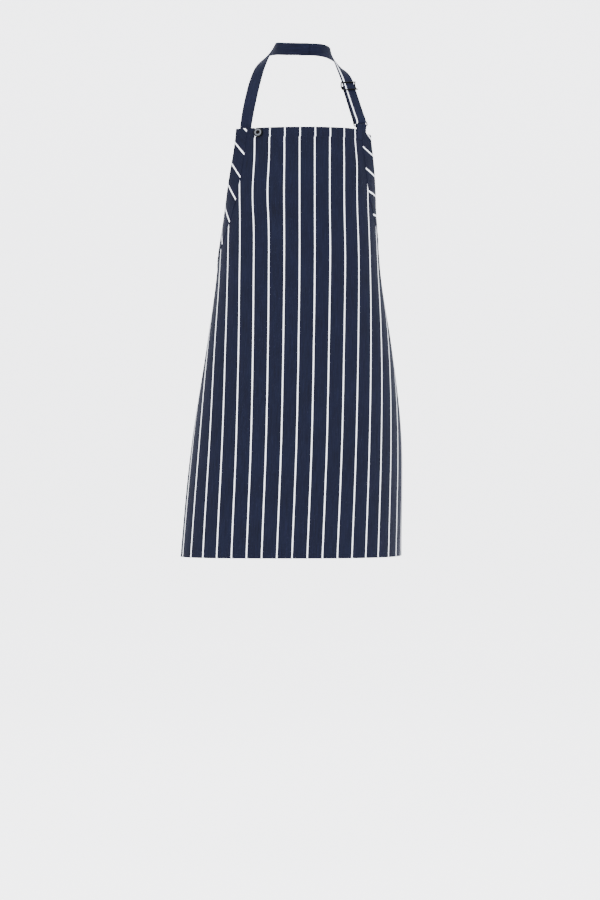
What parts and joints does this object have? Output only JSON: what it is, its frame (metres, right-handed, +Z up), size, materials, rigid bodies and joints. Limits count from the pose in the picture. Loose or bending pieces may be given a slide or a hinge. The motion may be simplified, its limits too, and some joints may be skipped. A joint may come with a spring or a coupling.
{
  "type": "butcher apron",
  "caption": "Striped bib apron as worn, with an adjustable neck strap on a slider and ring, a round bib button and waist ties tied in a bow behind.",
  "frame": {"origin": "where the neck strap's inner face rests on the nape, on the wearer's middle line", "axes": "+Z up, -Y the way the wearer faces, so the bib's outside faces -Y and the wearer's left is +X"},
  "size_m": [0.4498, 0.2714, 1.0479],
  "materials": {
    "striped_twill": "matte",
    "tape": "matte",
    "thread": "matte",
    "black_metal": "satin",
    "silver_metal": "polished"
  },
  "bodies": {
    "apron": {"body_panel": "striped_twill", "bib_top_hem": "striped_twill", "bottom_hem": "striped_twill", "side_hem_right": "striped_twill", "side_hem_left": "striped_twill", "armhole_facing_right": "striped_twill", "armhole_facing_left": "striped_twill", "neck_strap_right": "tape", "neck_strap_left": "tape", "strap_return": "tape", "ring_tab": "tape", "button_shank": "silver_metal", "button_tack": "silver_metal", "waist_tie_right": "tape", "waist_tie_left": "tape", "bow_knot": "tape", "bar_tacks": "thread"},
    "slider": {"slider": "black_metal", "strap_end": "tape"},
    "ring": {"ring": "black_metal"},
    "button": {"button_cap": "black_metal", "button_silver_ring": "silver_metal", "button_insert": "black_metal"}
  },
  "joints": [
    {"name": "slider_slide", "type": "slide", "parent": "apron", "child": "slider", "axis": [-0.2751, 0.3376, 0.9002], "range_m": [-0.056, 0.002], "deforming": ["strap_return"]},
    {"name": "ring_tilt", "type": "hinge", "parent": "apron", "child": "ring", "pos_m": [0.11327, -0.13297, -0.176], "axis": [-0.895, -0.432, -0.1115], "range_deg": [-6, 6]},
    {"name": "button_turn", "type": "hinge", "parent": "apron", "child": "button", "pos_m": [-0.09021, -0.1598, -0.1935], "axis": [-0.305, -0.9402, 0.1515], "continuous": true}
  ]
}
